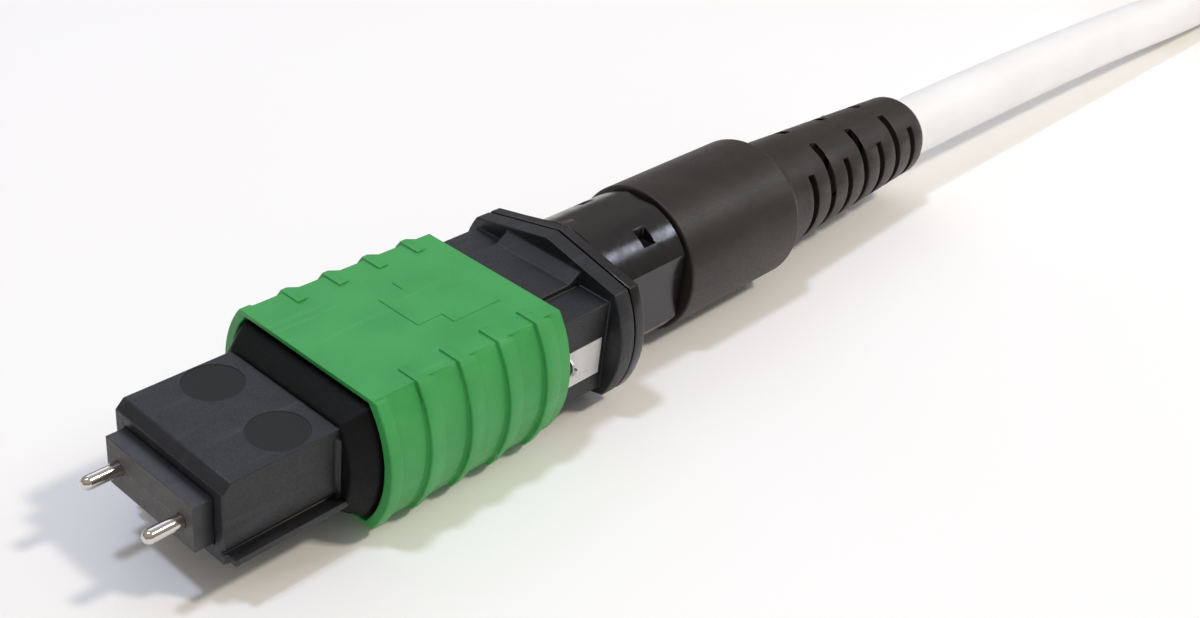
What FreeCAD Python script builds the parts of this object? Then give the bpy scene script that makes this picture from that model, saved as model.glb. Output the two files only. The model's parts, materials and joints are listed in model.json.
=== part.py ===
"""MPO fibre connector on a round cable: housing, coupling, MT ferrule, spring pack, crimp and boot.

Drawn about the connector's own axis: Y runs back along the fibre from the front edge of the
coupling, X is the width and Z is up. Each sub-part is then placed so that the whole stands on z = 0
with the connector centred on x = y = 0. Millimetres.
"""
import FreeCAD, Part

import math
import os
import re

import Sketcher

doc = FreeCAD.newDocument("MpoConnector")
dims = doc.addObject("Spreadsheet::Sheet", "Dims")

SIZES = {
    # coupling sleeve, its mouth, its bore and its grip ribs
    "couplingLong": 12.04,
    "couplingTopHalf": 4.73,
    "couplingHalfHigh": 3.62,
    "couplingBulge": 1.17,
    "rimOut": 0.2,
    "rimBulge": 1.24,
    "rimFlat": 0.7,
    "ribRise": 0.12,
    "ribInset": 1.15,
    "ribFirst": 2.45,
    "ribPitch": 2.55,
    "ribFlat": 0.4,
    "ribSlope": 0.8,
    "ribTaper": 16.0,
    "mouthDeep": 5.2,
    "lipTop": 0.24,
    "lipSide": 0.3,
    "slideClear": 0.05,
    "couplingTravel": 2.0,
    "bandRise": 0.04,
    "panelRise": 0.05,
    "panelFront": 5.65,
    "panelStep": 7.22,
    "panelBack": 10.35,
    "panelNeckHalf": 1.4,
    "panelHalf": 2.25,
    # inner housing
    "noseReach": 7.41,
    "noseHalf": 3.93,
    "noseTop": 2.3,
    "noseBottom": 2.03,
    "noseChamfer": 0.45,
    "bodyFront": 4.3,
    "bodyHalf": 4.87,
    "bodyHigh": 2.64,
    "ridgeHalf": 2.7,
    "ridgeStep": 0.3,
    "flangeFront": 15.8,
    "flangeThick": 1.05,
    "flangeHalf": 5.1,
    "flangeCorner": 3.15,
    "flangeRidge": 4.3,
    "flangeBulge": 0.9,
    "rampLong": 0.8,
    "rampHigh": 0.5,
    "shoulderFront": 1.35,
    "shoulderRamp": 0.6,
    "shoulderHalf": 4.6,
    "shoulderBack": 1.2,
    "shoulderHigh": 1.75,
    "ledgeFront": 7.2,
    "ledgeBack": 0.9,
    "ledgeOut": 0.52,
    "ledgeTop": 1.55,
    "ledgeThick": 0.4,
    "channelDeep": 0.22,
    "channelHigh": 0.3,
    "keyHalf": 1.3,
    "keyHigh": 0.87,
    "keyFront": 6.6,
    "cavityHalf": 3.62,
    "cavityHigh": 1.62,
    "markRadius": 1.45,
    "markApart": 4.7,
    "markBack": 3.32,
    "markDeep": 0.04,
    "slipClear": 0.05,
    # white pad that marks the side of the first fibre
    "padFront": 12.7,
    "padBack": 15.5,
    "padTop": 0.6,
    "padBottom": 1.6,
    "padDeep": 0.05,
    "padThick": 0.04,
    # coupling springs and their grooves
    "grooveFront": 6.0,
    "grooveBack": 13.1,
    "grooveDeep": 0.62,
    "grooveHalf": 0.72,
    "lugLong": 1.2,
    "endClear": 0.03,
    "coilRadius": 0.53,
    "coilWire": 0.22,
    "coilTurns": 6,
    # ferrule, guide pins and what carries them
    "ferruleLong": 8.0,
    "ferruleWide": 6.4,
    "ferruleHigh": 2.5,
    "ferruleProud": 0.97,
    "collarLong": 2.0,
    "collarWide": 7.0,
    "collarHigh": 3.0,
    "pinApart": 4.6,
    "pinRadius": 0.35,
    "pinProud": 1.82,
    "pinNose": 0.3,
    "pinTail": 1.3,
    "pinClear": 0.01,
    "waistLong": 0.5,
    "waistDeep": 0.08,
    "clampThick": 1.5,
    "clampWide": 6.9,
    "clampHigh": 2.9,
    "fibreCount": 12,
    "fibrePitch": 0.25,
    "fibreRadius": 0.0625,
    "fibreClear": 0.0075,
    "ribbonHigh": 0.3,
    "ribbonEdge": 0.05,
    "ribbonBack": 28.9,
    "slotWide": 3.6,
    "slotHigh": 1.16,
    "slotLong": 4.6,
    "windowWide": 3.2,
    "windowLong": 2.6,
    "windowFront": 2.7,
    "gripLong": 2.0,
    "gripCollar": 3.0,
    "gripCollarWide": 3.6,
    "gripCollarHigh": 1.4,
    "softClear": 0.03,
    "floatTravel": 0.8,
    "springHalf": 3.2,
    "springHigh": 1.4,
    "springWire": 0.4,
    "springTurns": 6,
    # spring push: seat, snap hooks, flange, neck and stem
    "pushFront": 9.0,
    "seam": 0.1,
    "pushFlangeThick": 0.7,
    "hookFront": 12.6,
    "hookLong": 1.0,
    "hookHigh": 0.35,
    "hookHalf": 1.2,
    "hookClear": 0.06,
    "slitWide": 0.35,
    "slitFront": 10.2,
    "slitBack": 14.6,
    "neckRadius": 4.15,
    "neckFlat": 3.62,
    "neckLong": 6.0,
    "stripHalf": 1.0,
    "stripDeep": 0.1,
    "snapIn": 1.85,
    "snapWide": 0.95,
    "snapFront": 3.25,
    "snapLong": 0.9,
    "snapFloor": 2.85,
    "stemRadius": 2.75,
    "stemLong": 5.7,
    "stemRing": 0.12,
    "stemRingLong": 2.0,
    "stemRingBack": 2.2,
    "pushBore": 1.75,
    # crimp ring, aramid, boot and cable
    "cableRadius": 2.1,
    "cableFront": 30.0,
    "yarnThick": 0.12,
    "yarnClear": 0.02,
    "crimpThick": 0.3,
    "crimpFront": 0.5,
    "crimpTaper": 1.2,
    "crimpBack": 35.2,
    "bootRadius": 4.39,
    "bootGap": 0.12,
    "bootShoulder": 10.1,
    "bootStep": 1.2,
    "bootWaistRadius": 3.56,
    "bootEndRadius": 2.8,
    "bootBack": 51.5,
    "bootRound": 0.55,
    "bootClear": 0.1,
    "cableClear": 0.06,
    "bandFirst": 13.2,
    "bandPitch": 4.12,
    "bandWide": 0.62,
    "bandFloor": 2.45,
    "bandShort": 84.0,
    "bandLong": 148.0,
    # free cable, its hank and the ties
    "cableStraight": 28.0,
    "cableSag": 0.75,
    "cableTouch": 102.0,
    "hankTurnRadius": 12.7,
    "hankStraight": 75.0,
    "hankFront": 115.0,
    "hankTail": 10.0,
    "hankLayers": 4,
    "tieWide": 5.0,
    "tieThick": 0.35,
    "tieClear": 0.05,
}

for row, (alias, size) in enumerate(SIZES.items(), start=1):
    dims.set(f"A{row}", alias)
    dims.set(f"B{row}", str(size))
    dims.setAlias(f"B{row}", alias)
doc.recompute()

# Stations along the axis and half sizes that several pieces share, as expressions on the sheet.
PIN_TIP = "(-noseReach - ferruleProud - pinProud)"
FERRULE_FACE = "(-noseReach - ferruleProud)"
FERRULE_BACK = "(ferruleLong - noseReach - ferruleProud)"
COLLAR_FRONT = f"({FERRULE_BACK} - collarLong)"
WINDOW_EDGE = f"({FERRULE_BACK} - gripLong - windowFront)"
CLAMP_BACK = f"({FERRULE_BACK} + clampThick)"
FLANGE_BACK = "(flangeFront + flangeThick)"
PUSH_FLANGE = f"({FLANGE_BACK} + seam)"
NECK_FRONT = f"({PUSH_FLANGE} + pushFlangeThick)"
NECK_BACK = f"({NECK_FRONT} + neckLong)"
STEM_BACK = f"({NECK_BACK} + stemLong)"
BOOT_FRONT = f"({NECK_BACK} + bootGap)"
COUPLING_BULGE = "(couplingTopHalf + couplingBulge)"
FLANGE_BULGE = "(flangeHalf + flangeBulge)"
RIDGE_HIGH = "(bodyHigh + ridgeStep)"
SPRING_X = "(bodyHalf + slideClear / 2)"
GROOVE_IN = "(bodyHalf - grooveDeep)"
GROOVE_OUT = "(bodyHalf + slideClear + grooveDeep)"
RIBBON_HALF = "(fibreCount * fibrePitch / 2)"
CRIMP_BORE = "(stemRadius + yarnThick + 2 * yarnClear)"
CRIMP_RADIUS = f"({CRIMP_BORE} + crimpThick)"
CRIMP_TAIL = "(cableRadius + yarnClear)"
HANK_FLOOR = "(tieThick + 2 * tieClear - bootRadius)"
CABLE_FLOOR = f"({HANK_FLOOR} + cableRadius)"


def ref(text):
    """An expression on the sheet: every word in the text is an alias there, apart from functions."""
    return re.sub(r"[A-Za-z]\w*(?!\w|\()", lambda word: "Dims." + word.group(), text)


def value(text):
    return float(dims.evalExpression(ref(text)))


def bind(thing, prop, text):
    thing.setExpression(prop, ref(text))


def place(thing, x="0", y="0", z="0"):
    """Puts a point of the axis frame where it lies on the table, centred between pin tip and boot."""
    bind(thing, "Placement.Base.x", x)
    bind(thing, "Placement.Base.y", f"({y}) - (bootBack + {PIN_TIP}) / 2")
    bind(thing, "Placement.Base.z", f"({z}) + bootRadius")


def make_body(label):
    body = doc.addObject("PartDesign::Body", label)
    body.Label = label
    place(body)
    return body


def origin(body, role):
    return next(part for part in body.Origin.OriginFeatures if part.Role == role)


def sketch(body, name, role="XZ_Plane", offset="0"):
    """A sketch on an origin plane. On XZ the offset is the station y, on XY it is z, on YZ it is x."""
    drawn = body.newObject("Sketcher::SketchObject", name)
    drawn.AttachmentSupport = (origin(body, role), "")
    drawn.MapMode = "FlatFace"
    bind(drawn, "AttachmentOffset.Base.z", f"-({offset})" if role == "XZ_Plane" else offset)
    return drawn


def pin_point(drawn, edge, end, corner):
    """Fixes one end of an edge at a corner given as two expressions."""
    for kind, text in zip(("DistanceX", "DistanceY"), corner):
        made = drawn.addConstraint(Sketcher.Constraint(kind, -1, 1, edge, end, value(text)))
        bind(drawn, f"Constraints[{made}]", text)


def outline(drawn, corners, bulges=None):
    """A closed outline. bulges gives, for the edge after a corner, how far it stands out as an arc."""
    bulges = bulges or {}
    first = drawn.GeometryCount
    points = [FreeCAD.Vector(value(x), value(y), 0) for x, y in corners]
    for number, start in enumerate(points):
        end = points[(number + 1) % len(points)]
        if number in bulges:
            side = (end - start).cross(FreeCAD.Vector(0, 0, 1)).normalize()
            crown = (start + end) * 0.5 + side * value(bulges[number])
            drawn.addGeometry(Part.Arc(start, crown, end), False)
        else:
            drawn.addGeometry(Part.LineSegment(start, end), False)

    def end_at(number, point):
        return 1 if (drawn.getPoint(first + number, 1) - point).Length < 1e-7 else 2

    for number, start in enumerate(points):
        before = (number - 1) % len(points)
        drawn.addConstraint(Sketcher.Constraint(
            "Coincident", first + before, end_at(before, start), first + number, end_at(number, start)))
        pin_point(drawn, first + number, end_at(number, start), corners[number])
    for number, out in bulges.items():
        (x1, y1), (x2, y2) = corners[number], corners[(number + 1) % len(corners)]
        chord = f"(pow({x2} - ({x1}); 2) + pow({y2} - ({y1}); 2))"
        radius = f"({chord} / 4 + pow({out}; 2)) / (2 * ({out}))"
        made = drawn.addConstraint(Sketcher.Constraint(
            "Radius", first + number, drawn.Geometry[first + number].Radius))
        bind(drawn, f"Constraints[{made}]", radius)


def rectangle(drawn, left, right, low, high):
    outline(drawn, [(left, low), (right, low), (right, high), (left, high)])


def circle(drawn, x, y, radius):
    edge = drawn.addGeometry(Part.Circle(
        FreeCAD.Vector(value(x), value(y), 0), FreeCAD.Vector(0, 0, 1), value(radius)), False)
    pin_point(drawn, edge, 3, (x, y))
    made = drawn.addConstraint(Sketcher.Constraint("Radius", edge, value(radius)))
    bind(drawn, f"Constraints[{made}]", radius)


def pad(body, drawn, length, reverse=None, both=False, taper=None):
    """Adds material from a sketch. On XZ it grows back along +Y."""
    made = body.newObject("PartDesign::Pad", drawn.Name + "Pad")
    made.Profile = drawn
    made.Midplane = both
    made.Reversed = drawn.AttachmentSupport[0][0].Role == "XZ_Plane" if reverse is None else reverse
    bind(made, "Length", length)
    if taper:
        bind(made, "TaperAngle", f"-({taper})")
    return made


def pocket(body, drawn, length, reverse=False, both=False):
    """Takes material away. On XZ it cuts back along +Y, on XY and YZ towards the axis."""
    made = body.newObject("PartDesign::Pocket", drawn.Name + "Pocket")
    made.Profile = drawn
    made.Midplane = both
    made.Reversed = reverse
    bind(made, "Length", length)
    return made


def turn(body, drawn, kind="Revolution", angle="360"):
    made = body.newObject("PartDesign::" + kind, drawn.Name + kind)
    made.Profile = drawn
    made.ReferenceAxis = (origin(body, "Y_Axis"), [""])
    made.Midplane = kind == "Groove"
    bind(made, "Angle", angle)
    return made


def repeat(body, feature, gap, times, role="Y_Axis"):
    """Repeats a feature at even gaps, along the connector unless another axis is named."""
    made = body.newObject("PartDesign::LinearPattern", feature.Name + "Row")
    made.Originals = [feature]
    made.Direction = (origin(body, role), [""])
    bind(made, "Occurrences", times)
    bind(made, "Length", f"({gap}) * ({times} - 1)")
    body.Tip = made
    return made


def first_fibre(drawn, radius):
    """The fibre at the left end of the row. It is too fine to need more than eight flats."""
    turns = [math.radians(45 * number + 22.5) for number in range(8)]
    outline(drawn, [(f"(1 - fibreCount) / 2 * fibrePitch + ({radius}) * {math.cos(turn):.6f}",
                     f"({radius}) * {math.sin(turn):.6f}") for turn in turns])


def box_outline(drawn, half_wide, half_high):
    rectangle(drawn, f"-({half_wide})", half_wide, f"-({half_high})", half_high)


def bulged_outline(drawn, half_top, half_high, bulge):
    """Flat top and bottom, and sides that bow outwards."""
    outline(drawn, [(f"-({half_top})", f"-({half_high})"), (half_top, f"-({half_high})"),
                    (half_top, half_high), (f"-({half_top})", half_high)], {1: bulge, 3: bulge})


def ridged_outline(drawn, clear):
    """Section of the housing's rear body: a slab with a wider-spaced ridge above and below."""
    half, high = f"(bodyHalf + {clear})", f"(bodyHigh + {clear})"
    ridge, crown = f"(ridgeHalf + {clear})", f"({RIDGE_HIGH} + {clear})"
    right = [(half, f"-{high}"), (half, high), (ridge, high), (ridge, crown)]
    left = [(f"-{ridge}", crown), (f"-{ridge}", high), (f"-{half}", high), (f"-{half}", f"-{high}")]
    under = [(f"-{ridge}", f"-{high}"), (f"-{ridge}", f"-{crown}"), (ridge, f"-{crown}"), (ridge, f"-{high}")]
    outline(drawn, right + left + under)


def flange_outline(drawn):
    """Shallow roof above and below, bowed sides."""
    outline(drawn, [("flangeHalf", "-flangeCorner"), ("flangeHalf", "flangeCorner"), ("0", "flangeRidge"),
                    ("-flangeHalf", "flangeCorner"), ("-flangeHalf", "-flangeCorner"), ("0", "-flangeRidge")],
            {0: "flangeBulge", 3: "flangeBulge"})


def both_sides(drawn, low_x, high_x, low_y, high_y):
    """The same rectangle left and right of the middle."""
    rectangle(drawn, low_x, high_x, low_y, high_y)
    rectangle(drawn, f"-({high_x})", f"-({low_x})", low_y, high_y)


def coupling_sleeve():
    body = make_body("coupling_sleeve")
    shell = sketch(body, "CouplingShell")
    bulged_outline(shell, "couplingTopHalf", "couplingHalfHigh", "couplingBulge")
    pad(body, shell, "couplingLong")

    rim = sketch(body, "CouplingRim")
    bulged_outline(rim, "couplingTopHalf + rimOut", "couplingHalfHigh", "rimBulge")
    pad(body, rim, "rimFlat")
    for name, start, length, taper in (("RibFlat", "ribFirst", "ribFlat", None),
                                       ("RibSlope", "ribFirst + ribFlat", "ribSlope", "ribTaper")):
        rib = sketch(body, name, offset=start)
        inner, outer = "couplingTopHalf - ribInset", "couplingTopHalf + rimOut"
        high = "couplingHalfHigh + ribRise"
        outline(rib, [(inner, f"-({high})"), (outer, f"-({high})"), (outer, high), (inner, high)],
                {1: "rimBulge"})
        outline(rib, [(f"-({outer})", f"-({high})"), (f"-({inner})", f"-({high})"),
                      (f"-({inner})", high), (f"-({outer})", high)], {3: "rimBulge"})
        repeat(body, pad(body, rib, length, taper=taper), "ribPitch", "4")

    band = sketch(body, "FrontBand", "XY_Plane", "couplingHalfHigh")
    rectangle(band, "-couplingTopHalf", "couplingTopHalf", "0", "ribFirst")
    pad(body, band, "bandRise")
    panel = sketch(body, "TopPanel", "XY_Plane", "couplingHalfHigh")
    outline(panel, [("-panelNeckHalf", "panelFront"), ("panelNeckHalf", "panelFront"),
                    ("panelNeckHalf", "panelStep"), ("panelHalf", "panelStep"), ("panelHalf", "panelBack"),
                    ("-panelHalf", "panelBack"), ("-panelHalf", "panelStep"), ("-panelNeckHalf", "panelStep")])
    pad(body, panel, "panelRise")

    mouth = sketch(body, "CouplingMouth")
    bulged_outline(mouth, "couplingTopHalf - lipSide", "couplingHalfHigh - lipTop", "couplingBulge")
    pocket(body, mouth, "mouthDeep")
    bore = sketch(body, "CouplingBore", offset="mouthDeep")
    ridged_outline(bore, "slideClear")
    pocket(body, bore, "couplingLong - mouthDeep")
    groove = sketch(body, "SpringGrooves", offset="grooveFront + endClear + lugLong")
    both_sides(groove, "bodyHalf", GROOVE_OUT, "-grooveHalf", "grooveHalf")
    pocket(body, groove, "couplingLong - grooveFront - endClear - lugLong")
    lugs = sketch(body, "CouplingLugs", offset="grooveFront + endClear")
    both_sides(lugs, f"{GROOVE_IN} + slideClear", "bodyHalf + 3 * slideClear",
               "slideClear - grooveHalf", "grooveHalf - slideClear")
    pad(body, lugs, "lugLong")
    return body


def inner_housing():
    body = make_body("inner_housing")
    nose = sketch(body, "NoseSide", "YZ_Plane")
    outline(nose, [("-noseReach", "-noseBottom"), ("bodyFront", "-noseBottom"), ("bodyFront", "noseTop"),
                   ("noseChamfer - noseReach", "noseTop"), ("-noseReach", "noseTop - noseChamfer")])
    pad(body, nose, "2 * noseHalf", both=True)
    shoulder = sketch(body, "ShoulderPlan", "XY_Plane")
    outline(shoulder, [("-noseHalf", "-shoulderFront"), ("noseHalf", "-shoulderFront"),
                       ("shoulderHalf", "shoulderRamp - shoulderFront"), ("shoulderHalf", "shoulderBack"),
                       ("-shoulderHalf", "shoulderBack"), ("-shoulderHalf", "shoulderRamp - shoulderFront")])
    pad(body, shoulder, "2 * shoulderHigh", both=True)
    rear = sketch(body, "RearBody", offset="bodyFront")
    ridged_outline(rear, "0")
    pad(body, rear, "flangeFront - bodyFront")
    flange = sketch(body, "HousingFlange", offset="flangeFront")
    flange_outline(flange)
    pad(body, flange, "flangeThick")
    for name, sign in (("RampTop", ""), ("RampUnder", "-")):
        ramp = sketch(body, name, "YZ_Plane")
        foot, top = f"{sign}{RIDGE_HIGH}", f"{sign}({RIDGE_HIGH} + rampHigh)"
        outline(ramp, [("flangeFront - rampLong", foot), ("flangeFront", foot), ("flangeFront", top)])
        pad(body, ramp, "2 * ridgeHalf", both=True)
    ledge = sketch(body, "SideLedges", offset="-ledgeFront")
    both_sides(ledge, "noseHalf - channelDeep", "noseHalf + ledgeOut", "-ledgeTop - ledgeThick", "-ledgeTop")
    pad(body, ledge, "ledgeFront - ledgeBack")
    key = sketch(body, "KeyBar", "XY_Plane", "-noseBottom")
    rectangle(key, "-keyHalf", "keyHalf", "-keyFront", "bodyFront")
    pad(body, key, "keyHigh", reverse=True)

    opening = sketch(body, "FerruleOpening", offset="-noseReach")
    box_outline(opening, "ferruleWide / 2 + slipClear", "ferruleHigh / 2 + slipClear")
    pocket(body, opening, f"noseReach + {COLLAR_FRONT}")
    cavity = sketch(body, "SpringCavity", offset=f"{COLLAR_FRONT} - endClear")
    box_outline(cavity, "cavityHalf", "cavityHigh")
    pocket(body, cavity, f"{FLANGE_BACK} - {COLLAR_FRONT} + endClear")
    grooves = sketch(body, "SideGrooves", offset="grooveFront")
    both_sides(grooves, GROOVE_IN, "bodyHalf + slideClear", "-grooveHalf", "grooveHalf")
    pocket(body, grooves, "grooveBack - grooveFront")
    recess = sketch(body, "HookRecess", "XY_Plane")
    rectangle(recess, "-hookHalf - hookClear", "hookHalf + hookClear",
              "hookFront - hookClear", "hookFront + hookLong + hookClear")
    pocket(body, recess, "2 * (cavityHigh + hookHigh)", both=True)
    channel = sketch(body, "SideChannels", offset="-noseReach")
    both_sides(channel, "noseHalf - channelDeep", "noseHalf + channelDeep", "-ledgeTop", "channelHigh - ledgeTop")
    pocket(body, channel, "noseReach - shoulderFront")
    marks = sketch(body, "RoundMarks", "XY_Plane", "noseTop")
    for side in ("-", ""):
        circle(marks, f"{side}markApart / 2", "-markBack", "markRadius")
    pocket(body, marks, "markDeep")
    seat = sketch(body, "PadRecess", "YZ_Plane", "bodyHalf")
    rectangle(seat, "padFront - slipClear", "padBack + slipClear", "-padBottom - slipClear", "padTop + slipClear")
    pocket(body, seat, "padDeep")
    return body


def fibre_one_mark():
    body = make_body("fibre_one_mark")
    mark = sketch(body, "MarkPad", "YZ_Plane", "bodyHalf - padDeep")
    rectangle(mark, "padFront", "padBack", "-padBottom", "padTop")
    pad(body, mark, "padThick")
    return body


def mt_ferrule():
    body = make_body("mt_ferrule")
    block = sketch(body, "FerruleBlock", offset=FERRULE_FACE)
    box_outline(block, "ferruleWide / 2", "ferruleHigh / 2")
    pad(body, block, "ferruleLong")
    collar = sketch(body, "FerruleCollar", offset=COLLAR_FRONT)
    box_outline(collar, "collarWide / 2", "collarHigh / 2")
    pad(body, collar, "collarLong")
    pins = sketch(body, "PinBores", offset=FERRULE_FACE)
    for side in ("-", ""):
        circle(pins, f"{side}pinApart / 2", "0", "pinRadius + pinClear")
    pocket(body, pins, "ferruleLong")
    slot = sketch(body, "RibbonSlot", offset=f"{FERRULE_BACK} - slotLong")
    box_outline(slot, "slotWide / 2", "slotHigh / 2")
    pocket(body, slot, "slotLong")
    window = sketch(body, "EpoxyWindow", "XY_Plane", "ferruleHigh / 2")
    rectangle(window, "-windowWide / 2", "windowWide / 2",
              f"{WINDOW_EDGE}", f"{WINDOW_EDGE} + windowLong")
    pocket(body, window, "ferruleHigh / 2")
    bore = sketch(body, "FibreBore", offset=FERRULE_FACE)
    first_fibre(bore, "fibreRadius + fibreClear")
    repeat(body, pocket(body, bore, "ferruleLong - slotLong"), "fibrePitch", "fibreCount", "X_Axis")
    return body


def window_epoxy():
    """Adhesive that fills the ferrule's window above the fibres, just below its top face."""
    body = make_body("window_epoxy")
    fill = sketch(body, "EpoxyFill", "XY_Plane", "fibreRadius + fibreClear")
    rectangle(fill, "softClear - windowWide / 2", "windowWide / 2 - softClear",
              f"{WINDOW_EDGE} + softClear",
              f"{WINDOW_EDGE} + windowLong - softClear")
    pad(body, fill, "ferruleHigh / 2 - fibreRadius - fibreClear - softClear")
    return body


def guide_pin(label, side):
    """Ground steel pin with a tapered nose and a waist that the clamp holds."""
    body = make_body(label)
    bind(body, "Placement.Base.x", f"{side}pinApart / 2")
    back = f"({FERRULE_BACK} + pinTail)"
    waist = f"({back} - 2 * waistLong)"
    profile = sketch(body, label + "Profile", "XY_Plane")
    outline(profile, [("0", PIN_TIP), ("pinRadius / 2", PIN_TIP), ("pinRadius", f"{PIN_TIP} + pinNose"),
                      ("pinRadius", waist), ("pinRadius - waistDeep", waist),
                      ("pinRadius - waistDeep", f"{waist} + waistLong"), ("pinRadius", f"{waist} + waistLong"),
                      ("pinRadius", back), ("0", back)], {1: "pinRadius / 8"})
    turn(body, profile)
    return body


def pin_clamp():
    """Plate behind the ferrule that keeps both pins and lets the ribbon through."""
    body = make_body("pin_clamp")
    plate = sketch(body, "ClampPlate", offset=f"{FERRULE_BACK} + endClear")
    box_outline(plate, "clampWide / 2", "clampHigh / 2")
    pad(body, plate, "clampThick - endClear")
    window = sketch(body, "ClampWindow", offset=f"{FERRULE_BACK} + endClear")
    box_outline(window, "gripCollarWide / 2 + softClear", "gripCollarHigh / 2 + softClear")
    pocket(body, window, "clampThick")
    bores = sketch(body, "ClampBores", offset=f"{FERRULE_BACK} + endClear")
    for side in ("-", ""):
        circle(bores, f"{side}pinApart / 2", "0", "pinRadius + pinClear")
    pocket(body, bores, "clampThick")
    return body


def ferrule_boot():
    """Soft grommet that carries the ribbon into the ferrule."""
    body = make_body("ferrule_boot")
    plug = sketch(body, "GripPlug", offset=f"{FERRULE_BACK} - gripLong")
    box_outline(plug, "slotWide / 2 - softClear", "slotHigh / 2 - softClear")
    pad(body, plug, "gripLong + gripCollar")
    collar = sketch(body, "GripCollar", offset=f"{FERRULE_BACK} + softClear")
    box_outline(collar, "gripCollarWide / 2", "gripCollarHigh / 2")
    pad(body, collar, "gripCollar - softClear")
    slot = sketch(body, "GripSlot", offset=f"{FERRULE_BACK} - gripLong")
    box_outline(slot, f"{RIBBON_HALF} + softClear", "ribbonHigh / 2 + softClear")
    pocket(body, slot, "gripLong + gripCollar")
    return body


def fibre_ribbon():
    """Twelve fibres side by side in one ribbon, stripped bare where they run in the ferrule."""
    body = make_body("fibre_ribbon")
    front = f"({FERRULE_BACK} - gripLong - ribbonEdge)"
    ribbon = sketch(body, "RibbonSection", offset=front)
    box_outline(ribbon, RIBBON_HALF, "ribbonHigh / 2")
    pad(body, ribbon, f"ribbonBack - {front}")
    bare = sketch(body, "BareFibre", offset=FERRULE_FACE)
    first_fibre(bare, "fibreRadius")
    repeat(body, pad(body, bare, f"{front} - {FERRULE_FACE}"), "fibrePitch", "fibreCount", "X_Axis")
    return body


def spring_push():
    body = make_body("spring_push")
    seat = sketch(body, "PushSeat", offset="pushFront")
    box_outline(seat, "cavityHalf - slipClear", "cavityHigh - slipClear")
    pad(body, seat, f"{PUSH_FLANGE} - pushFront")
    flange = sketch(body, "PushFlange", offset=PUSH_FLANGE)
    flange_outline(flange)
    pad(body, flange, "pushFlangeThick")
    neck = sketch(body, "PushNeck", offset=NECK_FRONT)
    flat_high = "sqrt(neckRadius * neckRadius - neckFlat * neckFlat)"
    crown = "(neckRadius - sqrt(neckRadius * neckRadius - neckFlat * neckFlat))"
    outline(neck, [("-neckFlat", f"-{flat_high}"), ("neckFlat", f"-{flat_high}"), ("neckFlat", flat_high),
                   ("-neckFlat", flat_high)], {0: crown, 2: crown})
    pad(body, neck, "neckLong")
    stem = sketch(body, "PushStem", offset=NECK_BACK)
    circle(stem, "0", "0", "stemRadius")
    pad(body, stem, "stemLong")
    hooks = sketch(body, "SnapHooks", "YZ_Plane")
    for sign in ("", "-"):
        inner, outer = f"{sign}(cavityHigh - 2 * slipClear)", f"{sign}(cavityHigh + hookHigh - hookClear)"
        outline(hooks, [("hookFront", inner), ("hookFront + hookLong", inner), ("hookFront + hookLong", outer)])
    pad(body, hooks, "2 * hookHalf", both=True)

    bore = sketch(body, "PushBore", offset="pushFront")
    circle(bore, "0", "0", "pushBore")
    pocket(body, bore, f"{STEM_BACK} - pushFront")
    eye = sketch(body, "PushEye", offset="pushFront")
    box_outline(eye, "2 * pushBore - cavityHigh + slipClear", "pushBore / 2")
    pocket(body, eye, "neckLong")
    slits = sketch(body, "HookSlits", "XY_Plane")
    both_sides(slits, "hookHalf + slipClear", "hookHalf + slipClear + slitWide", "slitFront", "slitBack")
    pocket(body, slits, "2 * cavityHigh", both=True)
    strip = sketch(body, "NeckStrips", offset=f"{NECK_FRONT} + stripHalf")
    for sign in ("", "-"):
        low, high = f"{sign}(neckRadius - stripDeep)", f"{sign}(neckRadius + stripDeep)"
        rectangle(strip, "-stripHalf", "stripHalf", low, high)
    pocket(body, strip, "neckLong - stripHalf")
    for name, floor in (("SnapsTop", "snapFloor"), ("SnapsUnder", "-snapFloor")):
        snaps = sketch(body, name, "XY_Plane", floor)
        both_sides(snaps, "snapIn", "snapIn + snapWide",
                   f"{NECK_FRONT} + snapFront", f"{NECK_FRONT} + snapFront + snapLong")
        pocket(body, snaps, "neckRadius", reverse=name == "SnapsTop")
    ring = sketch(body, "StemRing", "XY_Plane")
    rectangle(ring, "stemRadius - stemRing", "stemRadius + stemRing",
              f"{NECK_BACK} + stemRingBack", f"{NECK_BACK} + stemRingBack + stemRingLong")
    turn(body, ring, "Groove")
    return body


def aramid_yarn():
    """Yarn of the cable, folded forward over the stem and held under the crimp ring."""
    body = make_body("aramid_yarn")
    inner = "(stemRadius + yarnClear)"
    profile = sketch(body, "YarnProfile", "XY_Plane")
    rectangle(profile, inner, f"{inner} + yarnThick", f"{NECK_BACK} + crimpFront", STEM_BACK)
    turn(body, profile)
    return body


def crimp_ring():
    """Stepped ring: its front grips the yarn on the stem, its tail grips the jacket."""
    body = make_body("crimp_ring")
    front, step = f"({NECK_BACK} + crimpFront)", f"({STEM_BACK} + yarnClear)"
    profile = sketch(body, "CrimpProfile", "XY_Plane")
    outline(profile, [(CRIMP_BORE, front), (CRIMP_RADIUS, front), (CRIMP_RADIUS, step),
                      (f"{CRIMP_TAIL} + crimpThick", f"{step} + crimpTaper"),
                      (f"{CRIMP_TAIL} + crimpThick", "crimpBack"), (CRIMP_TAIL, "crimpBack"),
                      (CRIMP_TAIL, f"{step} + crimpTaper"), (CRIMP_BORE, step)])
    turn(body, profile)
    return body


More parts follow.
